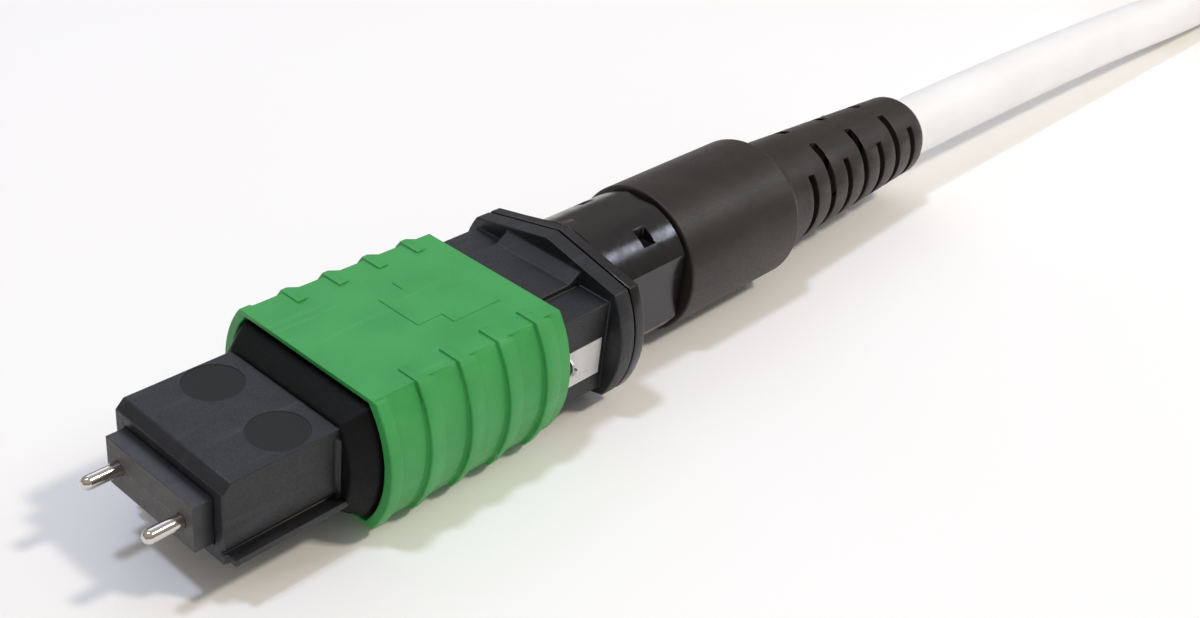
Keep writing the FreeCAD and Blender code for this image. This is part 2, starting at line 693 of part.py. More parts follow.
def boot():
    """Strain relief moulded in one piece: a plain barrel, a shoulder and a slotted flexible tail."""
    body = make_body("boot")
    shoulder = f"({BOOT_FRONT} + bootShoulder)"
    wide, tail = f"({CRIMP_RADIUS} + bootClear)", f"({CRIMP_TAIL} + crimpThick + bootClear)"
    step = f"({STEM_BACK} + yarnClear)"
    bore = "(cableRadius + cableClear)"
    profile = sketch(body, "BootProfile", "XY_Plane")
    outline(profile, [(wide, BOOT_FRONT), ("bootRadius", BOOT_FRONT), ("bootRadius", shoulder),
                      ("bootWaistRadius", f"{shoulder} + bootStep"), ("bootEndRadius", "bootBack - bootRound"),
                      ("bootEndRadius - bootRound / 2", "bootBack"), (bore, "bootBack"),
                      (bore, "crimpBack + bootClear"), (tail, "crimpBack + bootClear"),
                      (tail, f"{step} + crimpTaper + bootClear"), (wide, f"{step} + bootClear")])
    turn(body, profile)
    for name, first, angle, times in (("ShortSlots", "bandFirst", "bandShort", "4"),
                                      ("LongSlots", "bandFirst + bandPitch / 2", "bandLong", "3")):
        slots = sketch(body, name, "XY_Plane")
        start = f"({BOOT_FRONT} + {first})"
        both_sides(slots, "bandFloor", "bootRadius", start, f"{start} + bandWide")
        repeat(body, turn(body, slots, "Groove", angle), "bandPitch", times)
    return body


def coil_path(half_wide, half_high, wire, turns, length):
    """Centreline of a compression spring on an oval, with closed ends, in short straight runs."""
    steps = 10
    closed = wire * 1.15
    rise = (length - wire - 2 * closed) / (turns - 2)
    points = []
    for number in range(turns * steps + 1):
        along = number / steps
        if along < 1:
            y = closed * along
        elif along > turns - 1:
            y = length - wire - closed * (turns - along)
        else:
            y = closed + rise * (along - 1)
        around = 2 * math.pi * along
        points.append(FreeCAD.Vector(half_wide * math.cos(around), y + wire / 2, half_high * math.sin(around)))
    return Part.makePolygon(points)


def sweep(path, radius, sides=None):
    """A rod along a path: round, or with a few flats and mitred corners where it is fine wire."""
    start = path.Edges[0]
    middle, tangent = start.valueAt(start.FirstParameter), start.tangentAt(start.FirstParameter)
    section = Part.makeCircle(radius, middle, tangent)
    if sides:
        corners = section.discretize(sides + 1)
        section = Part.makePolygon(corners[:-1] + corners[:1])
    return path.makePipeShell([Part.Wire(section)], True, not sides, 1 if sides else 0)


def spring(label, half_wide, half_high, wire, turns, front, back, x="0"):
    """Wire spring between two stations. Its coil has no sketch, so the shape is set here."""
    made = doc.addObject("Part::Feature", label)
    made.Label = label
    path = coil_path(value(half_wide), value(half_high), value(wire), int(value(turns)),
                     value(f"{back} - ({front})"))
    made.Shape = sweep(path, value(wire) / 2, sides=6)
    place(made, x, front)
    return made


def cable_route():
    """Where the free cable turns: straight out of the boot, then down to the table and along it."""
    return [("0", "cableFront", "0"), ("0", "cableFront + cableStraight", "0"),
            ("0", "cableFront + 2 * cableStraight", "-cableSag"),
            ("0", "cableTouch", CABLE_FLOOR), ("0", "hankFront", CABLE_FLOOR)]


def cable_lead():
    """Round cable from the crimp ring to its hank: straight runs joined by tangent arcs."""
    made = doc.addObject("Part::Feature", "cable_lead")
    made.Label = "cable_lead"
    points = [FreeCAD.Vector(*(value(text) for text in corner)) for corner in cable_route()]
    edges, start = [], points[0]
    for before, corner, after in zip(points, points[1:], points[2:]):
        into, out = (corner - before).normalize(), (after - corner).normalize()
        half_turn = into.getAngle(out) / 2
        reach = 0.45 * min(before.distanceToPoint(corner), corner.distanceToPoint(after))
        first, last = corner - into * reach, corner + out * reach
        middle = corner + (out - into).normalize() * reach * (1 / math.cos(half_turn) - 1) / math.tan(half_turn)
        edges += [Part.LineSegment(start, first).toShape(), Part.Arc(first, middle, last).toShape()]
        print(f"cable bend radius {reach / math.tan(half_turn):.0f} mm")
        start = last
    edges.append(Part.LineSegment(start, points[-1]).toShape())
    path = Part.Wire(edges)
    made.Shape = sweep(path, value("cableRadius"))
    section = math.pi * value("cableRadius") ** 2
    print(f"cable lead {path.Length:.1f} mm, volume over section times length "
          f"{made.Shape.Volume / section / path.Length:.4f}")
    place(made)
    return made


HANK_OUT = "(hankTurnRadius + cableRadius)"
HANK_IN = "(hankTurnRadius - cableRadius)"
HANK_CENTRE = "(hankFront + hankTail)"


def racetrack(drawn, radius):
    """Two rounded ends joined by straight sides, about the middle of the hank."""
    middle = "hankTurnRadius"
    near, far = HANK_CENTRE, f"({HANK_CENTRE} + hankStraight)"
    outline(drawn, [(f"{middle} - {radius}", far), (f"{middle} - {radius}", near),
                    (f"{middle} + {radius}", near), (f"{middle} + {radius}", far)],
            {1: f"0.9 * {radius}", 3: f"0.9 * {radius}"})


def cable_hank():
    """The outer shape of the rest of the cable, folded in turns on each other in line with the connector."""
    body = make_body("cable_hank")
    high = "2 * cableRadius * hankLayers"
    turns = sketch(body, "HankTurns", "XY_Plane", HANK_FLOOR)
    racetrack(turns, HANK_OUT)
    racetrack(turns, HANK_IN)
    pad(body, turns, high)
    tail = sketch(body, "HankTail", "XY_Plane", HANK_FLOOR)
    rectangle(tail, "-cableRadius", "cableRadius", "hankFront", f"{HANK_CENTRE} + 1")
    pad(body, tail, "2 * cableRadius")
    return body


def hank_tie(label, middle):
    """Soft band round all the turns on one long side of the hank."""
    body = make_body(label)
    half = "(cableRadius + tieClear)"
    high = f"({HANK_FLOOR} + 2 * cableRadius * hankLayers + tieClear)"
    band = sketch(body, label + "Band", offset=f"{HANK_CENTRE} + (hankStraight - tieWide) / 2")
    for grow in ("0", "tieThick"):
        rectangle(band, f"{middle} - {half} - {grow}", f"{middle} + {half} + {grow}",
                  f"{HANK_FLOOR} - tieClear - {grow}", f"{high} + {grow}")
    pad(body, band, "tieWide")
    return body


coil_front = "(grooveFront + endClear + lugLong + endClear)"
coil_back = "(grooveBack - endClear)"
sub_parts = [
    inner_housing(), coupling_sleeve(), fibre_one_mark(), mt_ferrule(), window_epoxy(),
    guide_pin("guide_pin_left", "-"), guide_pin("guide_pin_right", ""), pin_clamp(), ferrule_boot(),
    fibre_ribbon(), spring_push(), aramid_yarn(), crimp_ring(), boot(),
    spring("coupling_spring_left", "coilRadius", "coilRadius", "coilWire", "coilTurns",
           coil_front, coil_back, f"-{SPRING_X}"),
    spring("coupling_spring_right", "coilRadius", "coilRadius", "coilWire", "coilTurns",
           coil_front, coil_back, SPRING_X),
    spring("ferrule_spring", "springHalf - springWire / 2", "springHigh - springWire / 2", "springWire",
           "springTurns", f"{CLAMP_BACK} + endClear", "pushFront - endClear"),
    cable_lead(), cable_hank(),
    hank_tie("hank_tie_near", "0"),
    hank_tie("hank_tie_far", "2 * hankTurnRadius"),
]

doc.recompute()
for thing in doc.Objects:
    if {"Invalid", "Error"} & set(thing.State):
        raise RuntimeError(f"{thing.Label} did not compute")
for part in sub_parts:
    if part.Shape.isNull() or not part.Shape.isValid():
        raise RuntimeError(f"{part.Label} has no valid shape")

os.makedirs("parts", exist_ok=True)
for part in sub_parts:
    box = part.Shape.optimalBoundingBox()
    print(f"{part.Label:24s} {len(part.Shape.Solids)} solid  {part.Shape.Volume:9.2f} mm3  "
          f"x {box.XMin:.2f} {box.XMax:.2f}  y {box.YMin:.2f} {box.YMax:.2f}  z {box.ZMin:.2f} {box.ZMax:.2f}")
    part.Shape.exportStep(f"parts/{part.Label}.step")
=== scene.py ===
import json
import math

import bpy
from mathutils import Matrix, Vector

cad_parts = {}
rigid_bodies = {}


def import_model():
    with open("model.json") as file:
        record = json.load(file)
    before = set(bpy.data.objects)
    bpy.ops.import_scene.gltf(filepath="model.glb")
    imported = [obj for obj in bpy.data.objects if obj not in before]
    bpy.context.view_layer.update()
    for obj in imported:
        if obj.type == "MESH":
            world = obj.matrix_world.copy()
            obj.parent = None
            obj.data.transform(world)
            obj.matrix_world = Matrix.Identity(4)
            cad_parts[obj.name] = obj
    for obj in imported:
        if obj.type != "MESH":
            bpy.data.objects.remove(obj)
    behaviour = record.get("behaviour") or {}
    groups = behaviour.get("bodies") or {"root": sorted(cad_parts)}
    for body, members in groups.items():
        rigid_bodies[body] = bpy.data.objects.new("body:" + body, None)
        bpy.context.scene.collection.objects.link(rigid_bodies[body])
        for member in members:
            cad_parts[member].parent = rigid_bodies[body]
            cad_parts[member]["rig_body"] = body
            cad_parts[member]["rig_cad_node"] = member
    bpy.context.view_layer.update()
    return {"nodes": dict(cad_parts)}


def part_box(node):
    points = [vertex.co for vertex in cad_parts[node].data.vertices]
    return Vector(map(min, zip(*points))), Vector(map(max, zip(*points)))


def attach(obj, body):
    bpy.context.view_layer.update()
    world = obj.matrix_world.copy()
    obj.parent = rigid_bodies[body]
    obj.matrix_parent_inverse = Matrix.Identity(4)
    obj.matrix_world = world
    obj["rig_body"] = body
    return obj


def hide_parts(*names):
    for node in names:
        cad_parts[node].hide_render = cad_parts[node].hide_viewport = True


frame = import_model()
nodes = frame["nodes"]
mm = 0.001


def srgb(code):
    parts = [int(code[k:k + 2], 16) / 255 for k in (1, 3, 5)]
    return tuple(c / 12.92 if c <= 0.04045 else ((c + 0.055) / 1.055) ** 2.4 for c in parts) + (1.0,)


def addNode(tree, kind, settings=None, links=None, props=None):
    node = tree.nodes.new(kind)
    for name, amount in (props or {}).items():
        setattr(node, name, amount)
    for name, amount in (settings or {}).items():
        node.inputs[name].default_value = amount
    for name, source in (links or {}).items():
        tree.links.new(source, node.inputs[name])
    return node


def newMaterial(name):
    material = bpy.data.materials.new(name)
    material.use_nodes = True
    material.node_tree.nodes.clear()
    return material


# camera
cameraSet = {"place": (44.332, -56.017, 47.175), "azimuth": 38.068, "elevation": 32.158, "roll": 7.276,
             "lens": 44.481, "sensor": 36.0}


def placeCamera():
    azimuth, elevation, roll = (math.radians(cameraSet[k]) for k in ("azimuth", "elevation", "roll"))
    back = Vector((math.sin(azimuth) * math.cos(elevation), -math.cos(azimuth) * math.cos(elevation),
                   math.sin(elevation)))
    right = Vector((math.cos(azimuth), math.sin(azimuth), 0.0))
    up = back.cross(right)
    rightTurned = right * math.cos(roll) + up * math.sin(roll)
    upTurned = up * math.cos(roll) - right * math.sin(roll)
    bpy.ops.object.camera_add()
    camera = bpy.context.object
    camera.matrix_world = (Matrix.Translation(Vector(cameraSet["place"]) * mm)
                           @ Matrix((rightTurned, upTurned, back)).transposed().to_4x4())
    camera.data.lens = cameraSet["lens"]
    camera.data.sensor_width = cameraSet["sensor"]
    camera.data.clip_start = 0.001
    bpy.context.scene.camera = camera
    bpy.context.scene.view_settings.view_transform = "Standard"


placeCamera()
print("camera done")


def mouldedPlastic(name, look):
    # the mould's grain breaks up the gloss, colour drifts a little, handling leaves faint dull scuffs
    material = newMaterial(name)
    tree = material.node_tree
    place = addNode(tree, "ShaderNodeTexCoord").outputs["Object"]
    grain = addNode(tree, "ShaderNodeTexNoise", {"Scale": 1 / (look["grain"] * mm), "Detail": 3.0,
                    "Roughness": 0.6}, {"Vector": place}).outputs["Fac"]
    cloud = addNode(tree, "ShaderNodeTexNoise", {"Scale": 1 / (look["cloud"] * mm), "Detail": 3.0},
                    {"Vector": place}).outputs["Fac"]
    drift = addNode(tree, "ShaderNodeMapRange", {"From Min": 0.36, "From Max": 0.64}, {"Value": cloud})
    body = addNode(tree, "ShaderNodeMix", {"A": srgb(look["dark"]), "B": srgb(look["light"])},
                   {"Factor": drift.outputs["Result"]}, {"data_type": "RGBA"})
    stretched = addNode(tree, "ShaderNodeMapping", {"Rotation": (0.2, 0.3, 0.9), "Scale": (1.0, 0.12, 1.0)},
                        {"Vector": place})
    rubbed = addNode(tree, "ShaderNodeTexNoise", {"Scale": 1 / (look["scuff"] * mm), "Detail": 5.0},
                     {"Vector": stretched.outputs["Vector"]})
    scuff = addNode(tree, "ShaderNodeMapRange", {"From Min": 0.58, "From Max": 0.72, "To Max": look["worn"]},
                    {"Value": rubbed.outputs["Fac"]}).outputs["Result"]
    colour = addNode(tree, "ShaderNodeMix", {"B": srgb(look["dust"])},
                     {"Factor": scuff, "A": body.outputs["Result"]}, {"data_type": "RGBA"})
    rough = addNode(tree, "ShaderNodeMapRange", {"From Min": 0.35, "From Max": 0.65,
                    "To Min": look["rough"][0], "To Max": look["rough"][1]}, {"Value": grain})
    tone, gloss = colour.outputs["Result"], rough.outputs["Result"]
    if "discs" in look:
        # ejector discs on the top face are duller and darker than the grain round them
        axes = addNode(tree, "ShaderNodeSeparateXYZ", links={"Vector": place})
        side = addNode(tree, "ShaderNodeMath", {}, {0: axes.outputs["X"]}, {"operation": "ABSOLUTE"})
        flat = addNode(tree, "ShaderNodeCombineXYZ", {}, {"X": side.outputs["Value"], "Y": axes.outputs["Y"]})
        away = addNode(tree, "ShaderNodeVectorMath", {1: look["discs"]}, {0: flat.outputs["Vector"]},
                       {"operation": "DISTANCE"})
        outer, inner = (radius * mm for radius in look["discEdge"])
        inside = addNode(tree, "ShaderNodeMapRange", {"From Min": outer, "From Max": inner},
                         {"Value": away.outputs["Value"]})
        high = addNode(tree, "ShaderNodeMath", {1: look["above"]}, {0: axes.outputs["Z"]},
                       {"operation": "GREATER_THAN"})
        disc = addNode(tree, "ShaderNodeMath", {}, {0: inside.outputs["Result"], 1: high.outputs["Value"]},
                       {"operation": "MULTIPLY"}).outputs["Value"]
        tone = addNode(tree, "ShaderNodeMix", {"B": srgb(look["disc"])}, {"Factor": disc, "A": tone},
                       {"data_type": "RGBA"}).outputs["Result"]
        gloss = addNode(tree, "ShaderNodeMix", {"B": look["discRough"]},
                        {"Factor": disc, "A": gloss}).outputs["Result"]
    bump = addNode(tree, "ShaderNodeBump", {"Strength": look["bump"], "Distance": look["depth"] * mm},
                   {"Height": grain})
    shader = addNode(tree, "ShaderNodeBsdfPrincipled", {"IOR": look["ior"]},
                     {"Base Color": tone, "Roughness": gloss, "Normal": bump.outputs["Normal"]})
    addNode(tree, "ShaderNodeOutputMaterial", links={"Surface": shader.outputs["BSDF"]})
    return material


def groundMetal(name, look):
    # fine rings left by grinding or drawing run round the part: bright, with a slightly broken reflection
    material = newMaterial(name)
    tree = material.node_tree
    place = addNode(tree, "ShaderNodeTexCoord").outputs["Object"]
    squeezed = addNode(tree, "ShaderNodeMapping", {"Scale": (1.0, look["squeeze"], 1.0)}, {"Vector": place})
    lines = addNode(tree, "ShaderNodeTexNoise", {"Scale": 1 / (look["line"] * mm), "Detail": 2.0},
                    {"Vector": squeezed.outputs["Vector"]}).outputs["Fac"]
    tint = addNode(tree, "ShaderNodeMix", {"A": srgb(look["dark"]), "B": srgb(look["light"])},
                   {"Factor": lines}, {"data_type": "RGBA"})
    rough = addNode(tree, "ShaderNodeMapRange", {"To Min": look["rough"][0], "To Max": look["rough"][1]},
                    {"Value": lines})
    bump = addNode(tree, "ShaderNodeBump", {"Strength": 0.15, "Distance": 0.002 * mm}, {"Height": lines})
    shader = addNode(tree, "ShaderNodeBsdfPrincipled", {"Metallic": 1.0},
                     {"Base Color": tint.outputs["Result"], "Roughness": rough.outputs["Result"],
                      "Normal": bump.outputs["Normal"]})
    addNode(tree, "ShaderNodeOutputMaterial", links={"Surface": shader.outputs["BSDF"]})
    return material


def wovenFibre(name, look):
    # threads cross at their real spacing, so the surface is matt and slightly ribbed
    material = newMaterial(name)
    tree = material.node_tree
    place = addNode(tree, "ShaderNodeTexCoord").outputs["Object"]
    along = addNode(tree, "ShaderNodeTexWave", {"Scale": 0.314 / (look["thread"] * mm), "Distortion": 1.5,
                    "Detail": 2.0, "Detail Scale": 3.0}, {"Vector": place}, {"bands_direction": look["run"]})
    across = addNode(tree, "ShaderNodeTexWave", {"Scale": 0.314 / (look["cross"] * mm), "Distortion": 1.0},
                     {"Vector": place}, {"bands_direction": look["over"]})
    weave = addNode(tree, "ShaderNodeMath", {}, {0: along.outputs["Fac"], 1: across.outputs["Fac"]},
                    {"operation": "MULTIPLY"}).outputs["Value"]
    tint = addNode(tree, "ShaderNodeMix", {"A": srgb(look["dark"]), "B": srgb(look["light"])},
                   {"Factor": weave}, {"data_type": "RGBA"})
    bump = addNode(tree, "ShaderNodeBump", {"Strength": 0.7, "Distance": look["depth"] * mm},
                   {"Height": weave})
    shader = addNode(tree, "ShaderNodeBsdfPrincipled",
                     {"Roughness": look["rough"], "Sheen Weight": look["sheen"]},
                     {"Base Color": tint.outputs["Result"], "Normal": bump.outputs["Normal"]})
    addNode(tree, "ShaderNodeOutputMaterial", links={"Surface": shader.outputs["BSDF"]})
    return material


# glass-filled polyester from an eroded mould: even satin green that goes paler where light grazes it
couplingGreen = mouldedPlastic("satinGreenPolyester", {
    "grain": 0.09, "cloud": 2.5, "dark": "#339648", "light": "#3b9e4f", "scuff": 1.1, "worn": 0.16,
    "dust": "#8fcf98", "rough": (0.4, 0.56), "bump": 0.22, "depth": 0.012, "ior": 1.5})

# black glass-filled polymer with a coarser eroded grain: a grey bloom on flat faces, no sharp reflection
noseLow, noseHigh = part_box("inner_housing")
housingBlack = mouldedPlastic("erodedBlackPolymer", {
    "discs": (2.35 * mm, noseLow.y + 4.09 * mm, 0), "above": noseHigh.z - 2.4 * mm, "disc": "#0c0d10",
    "discEdge": (1.5, 1.35), "discRough": 0.68,
    "grain": 0.1, "cloud": 1.6, "dark": "#101115", "light": "#18191e", "scuff": 0.9, "worn": 0.2,
    "dust": "#4c4e5a", "rough": (0.38, 0.6), "bump": 0.4, "depth": 0.014, "ior": 1.52})

# the housing's polymer deep in the mouth: matt black, darker and with less sheen than the housing's, which is
# painted shade for the shadow inside the sleeve's mouth
collarShadeBlack = mouldedPlastic("shadedDeepBlackPolymer", {
    "grain": 0.12, "cloud": 1.2, "dark": "#060707", "light": "#0a0b0c", "scuff": 0.8, "worn": 0.08,
    "dust": "#1b1c1e", "rough": (0.5, 0.66), "bump": 0.3, "depth": 0.012, "ior": 1.28})

# the housing's polymer from a polished mould: wet-looking black with tight highlights
pushBlack = mouldedPlastic("polishedBlackPolymer", {
    "grain": 0.6, "cloud": 2.0, "dark": "#121012", "light": "#191619", "scuff": 1.2, "worn": 0.12,
    "dust": "#4d4848", "rough": (0.14, 0.26), "bump": 0.1, "depth": 0.012, "ior": 1.52})

# thermoplastic elastomer: soft broad shine on a slightly brown black
bootRubber = mouldedPlastic("satinBlackElastomer", {
    "grain": 0.14, "cloud": 3.0, "dark": "#1d1613", "light": "#27201c", "scuff": 1.8, "worn": 0.14,
    "dust": "#5a514c", "rough": (0.4, 0.54), "bump": 0.22, "depth": 0.014, "ior": 1.49})

# phenylene sulphide filled with glass powder: dense dark grey, moulded smooth on its sides
ferruleResin = mouldedPlastic("mouldedFerruleResin", {
    "grain": 0.08, "cloud": 0.8, "dark": "#1d1c1f", "light": "#27262a", "scuff": 0.6, "worn": 0.1,
    "dust": "#55504d", "rough": (0.32, 0.46), "bump": 0.14, "depth": 0.006, "ior": 1.6})

# the same resin lapped flat on its mating face: duller and greyer than the moulded sides; the greyer colour
# is partly the lapped finish and partly painted light on the face that looks forward
lappedAndLitResin = mouldedPlastic("lappedAndLitFerruleFace", {
    "grain": 0.045, "cloud": 0.5, "dark": "#3d3937", "light": "#4a4644", "scuff": 0.3, "worn": 0.3,
    "dust": "#6a6562", "rough": (0.5, 0.64), "bump": 0.2, "depth": 0.004, "ior": 1.6})

# low-smoke polyolefin jacket: clean satin white with the shallow waves of extrusion
jacketWhite = mouldedPlastic("extrudedWhiteJacket", {
    "grain": 0.5, "cloud": 6.0, "dark": "#f5f5f5", "light": "#fafafb", "scuff": 3.0, "worn": 0.1,
    "dust": "#dcdcda", "rough": (0.36, 0.46), "bump": 0.12, "depth": 0.02, "ior": 1.49})

# pad-printed ink: flat pale grey, thin, slightly uneven
markInk = mouldedPlastic("padPrintedInk", {
    "grain": 0.15, "cloud": 0.9, "dark": "#cfcecf", "light": "#d9d8d8", "scuff": 0.7, "worn": 0.3,
    "dust": "#b9b6b5", "rough": (0.4, 0.5), "bump": 0.12, "depth": 0.004, "ior": 1.5})

# amber epoxy that fills the ferrule's window: glossy and smooth
windowAmber = mouldedPlastic("castAmberEpoxy", {
    "grain": 0.6, "cloud": 0.7, "dark": "#4b2c12", "light": "#6a4018", "scuff": 1.0, "worn": 0.05,
    "dust": "#8a6a40", "rough": (0.1, 0.2), "bump": 0.08, "depth": 0.01, "ior": 1.55})

# centreless-ground stainless steel: mirror bright along the pin; its warm tint is a painted reflection of the
# room
pinSteel = groundMetal("groundStainlessSteel", {
    "line": 0.3, "squeeze": 10.0, "dark": "#c9c2bb", "light": "#dcd8d3", "rough": (0.1, 0.2)})

# hard-drawn spring wire: greyer, with draw marks along it
wireSteel = groundMetal("drawnSpringWire", {
    "line": 0.15, "squeeze": 3.0, "dark": "#9b9996", "light": "#b9b8b5", "rough": (0.22, 0.36)})

# aluminium alloy turned on a lathe: pale satin rings
crimpMetal = groundMetal("turnedAluminium", {
    "line": 0.25, "squeeze": 14.0, "dark": "#b7b8ba", "light": "#cfd0d2", "rough": (0.26, 0.4)})

# para-aramid yarn: straw yellow filaments that run along the cable, with a silky sheen
aramidStraw = wovenFibre("aramidYarn", {
    "thread": 0.14, "cross": 1.9, "run": "X", "over": "Y", "dark": "#b08a2c", "light": "#e0bd55",
    "depth": 0.03, "rough": 0.55, "sheen": 0.4})

# woven polyester hook tape: dull black with a visible rib
tieWeave = wovenFibre("wovenHookTape", {
    "thread": 0.45, "cross": 0.55, "run": "Y", "over": "Z", "dark": "#101011", "light": "#2b2b2d",
    "depth": 0.06, "rough": 0.9, "sheen": 0.3})


def coatedRibbon():
    # ultraviolet-cured acrylate over the fibres, and bare polished silica where they reach the ferrule's face
    material = newMaterial("acrylateCoatedRibbon")
    tree = material.node_tree
    place = addNode(tree, "ShaderNodeTexCoord").outputs["Object"]
    parts = addNode(tree, "ShaderNodeSeparateXYZ", links={"Vector": place})
    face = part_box("mt_ferrule")[0].y
    bare = addNode(tree, "ShaderNodeMath", {1: face + 0.3 * mm}, {0: parts.outputs["Y"]},
                   {"operation": "LESS_THAN"}).outputs["Value"]
    lanes = addNode(tree, "ShaderNodeTexWave", {"Scale": 0.314 / (0.25 * mm)}, {"Vector": place},
                    {"bands_direction": "X"}).outputs["Fac"]
    coat = addNode(tree, "ShaderNodeMix", {"A": srgb("#2f8f92"), "B": srgb("#4fb4b2")}, {"Factor": lanes},
                   {"data_type": "RGBA"})
    colour = addNode(tree, "ShaderNodeMix", {"B": srgb("#5d5754")},
                     {"Factor": bare, "A": coat.outputs["Result"]}, {"data_type": "RGBA"})
    bump = addNode(tree, "ShaderNodeBump", {"Strength": 0.2, "Distance": 0.01 * mm}, {"Height": lanes})
    shader = addNode(tree, "ShaderNodeBsdfPrincipled", {"Roughness": 0.24, "IOR": 1.5},
                     {"Base Color": colour.outputs["Result"], "Normal": bump.outputs["Normal"]})
    addNode(tree, "ShaderNodeOutputMaterial", links={"Surface": shader.outputs["BSDF"]})
    return material


ribbonCoat = coatedRibbon()
print("materials done")


# cable
cableSet = {"radius": 2.1, "axis": 4.39, "layer": 4.22, "turn": 12.7, "near": 104.35, "far": 179.35,
            "turns": 4, "foldSteps": 6, "foldDeep": 0.95, "edgeIn": 3, "runIn": 26,
            "route": [(0, 9.35, 0), (0, 37.35, 0), (0, 65.35, -0.75), (0, 81.35, -1.84), (0, 94.35, -1.84)]}


def hankPoints():
    # turns on each other, folded at both ends, then the bare end along the last run
    turn, near, far = cableSet["turn"], cableSet["near"], cableSet["far"]
    turns, steps, deep = cableSet["turns"], cableSet["foldSteps"], cableSet["foldDeep"]
    edge, inner = cableSet["edgeIn"], cableSet["runIn"]
    low = cableSet["axis"] + cableSet["route"][-1][2]
    points = []
    for number in range(turns):
        z = low + number * cableSet["layer"]
        points += [(0, near + edge, z), (0, near + inner, z), (0, far - inner, z), (0, far - edge, z)]
        for k in range(1, steps):
            angle = math.pi * k / steps
            points.append((turn - turn * math.cos(angle), far + deep * turn * math.sin(angle), z))
        points += [(2 * turn, far - edge, z), (2 * turn, far - inner, z), (2 * turn, near + inner, z)]
        if number == turns - 1:
            break
        points.append((2 * turn, near + edge, z))
        for k in range(1, steps):
            angle = math.pi * k / steps
            points.append((turn + turn * math.cos(angle), near - deep * turn * math.sin(angle),
                           z + cableSet["layer"] * k / steps))
    return points


def layCable():
    curve = bpy.data.curves.new("cable", "CURVE")
    curve.dimensions = "3D"
    curve.bevel_depth = cableSet["radius"] * mm
    curve.bevel_resolution = 6
    curve.resolution_u = 8
    curve.use_fill_caps = True
    route = [(x, y, z + cableSet["axis"]) for x, y, z in cableSet["route"]] + hankPoints()
    spline = curve.splines.new("NURBS")
    spline.points.add(len(route) - 1)
    for point, spot in zip(spline.points, route):
        point.co = (spot[0] * mm, spot[1] * mm, spot[2] * mm, 1.0)
    spline.order_u = 3
    spline.use_endpoint_u = True
    piece = bpy.data.objects.new("cable", curve)
    bpy.context.collection.objects.link(piece)
    curve.materials.append(jacketWhite)
    return piece


cable = layCable()
print("cable done")


edgeSet = {"merge": 1e-7, "flat": 0.6, "sharp": 28, "smooth": 48, "faceShare": 0.35, "endShare": 0.42}


def edgeWeights(mesh, width):
    # an edge is rounded only as far as its two faces and the edges at its ends leave room
    room, shortest = {}, {}
    for face in mesh.polygons:
        corners = [mesh.vertices[k].co for k in face.vertices]
        around = sum((a - b).length for a, b in zip(corners, corners[1:] + corners[:1]))
        for key in face.edge_keys:
            room.setdefault(key, []).append((2 * face.area / around, face.normal))
    for key in room:
        long = (mesh.vertices[key[0]].co - mesh.vertices[key[1]].co).length
        for end in key:
            shortest[end] = min(long, shortest.get(end, long))
    weights = mesh.attributes.new("bevel_weight_edge", "FLOAT", "EDGE")
    for edge in mesh.edges:
        sides = room.get(edge.key, [])
        if len(sides) == 2 and sides[0][1].angle(sides[1][1], 0) > math.radians(edgeSet["sharp"]):
            free = min(edgeSet["faceShare"] * sides[0][0], edgeSet["faceShare"] * sides[1][0],
                       *(edgeSet["endShare"] * shortest[end] for end in edge.key))
            weights.data[edge.index].value = min(1.0, free / width)


def softened(node, look):
    # a copy of the solid with its corners rounded as the mould leaves them, so that edges catch light
    bpy.ops.object.select_all(action="DESELECT")
    nodes[node].select_set(True)
    bpy.context.view_layer.objects.active = nodes[node]
    bpy.ops.object.duplicate()
    piece = bpy.context.object
    bpy.ops.object.parent_clear(type="CLEAR_KEEP_TRANSFORM")
    del piece["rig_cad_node"]
    piece.name = look["name"]
    bpy.ops.object.mode_set(mode="EDIT")
    bpy.ops.mesh.select_all(action="SELECT")
    bpy.ops.mesh.remove_doubles(threshold=edgeSet["merge"])
    bpy.ops.mesh.dissolve_limited(angle_limit=math.radians(edgeSet["flat"]))
    bpy.ops.object.mode_set(mode="OBJECT")
    edgeWeights(piece.data, look["round"] * mm)
    bpy.ops.object.modifier_add(type="BEVEL")
    bevel = piece.modifiers[-1]
    bevel.limit_method = "WEIGHT"
    bevel.width = look["round"] * mm
    bevel.segments = look["steps"]
    bevel.use_clamp_overlap = False
    bpy.ops.object.modifier_apply(modifier=bevel.name)
    bpy.ops.object.shade_smooth_by_angle(angle=math.radians(edgeSet["smooth"]))
    bpy.ops.object.modifier_add(type="WEIGHTED_NORMAL")
    piece.modifiers[-1].keep_sharp = True
    bpy.ops.object.modifier_apply(modifier=piece.modifiers[-1].name)
    piece.data.materials.clear()
    for material in look["materials"]:
        piece.data.materials.append(material)
    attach(piece, nodes[node]["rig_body"])
    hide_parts(node)
    return piece


softSet = {
    "coupling_sleeve": {"name": "pullSleeve", "round": 0.1, "steps": 3, "materials": [couplingGreen],
                        "slot": "coupling_plastic"},
    "inner_housing": {"name": "plugHousing", "round": 0.09, "steps": 3, "materials": [housingBlack],
                      "slot": "housing_plastic"},
    "spring_push": {"name": "springPush", "round": 0.07, "steps": 3, "materials": [pushBlack],
                    "slot": "push_plastic"},
    "boot": {"name": "bendBoot", "round": 0.16, "steps": 3, "materials": [bootRubber], "slot": "boot_rubber"},
    "mt_ferrule": {"name": "ferruleBlock", "round": 0.03, "steps": 2,
                   "materials": [ferruleResin, lappedAndLitResin], "slot": "ferrule_resin"},
    "hank_tie_near": {"name": "nearTie", "round": 0.14, "steps": 3, "materials": [tieWeave],
                      "slot": "tie_fabric"},
    "hank_tie_far": {"name": "farTie", "round": 0.14, "steps": 3, "materials": [tieWeave],
                     "slot": "tie_fabric"},
}
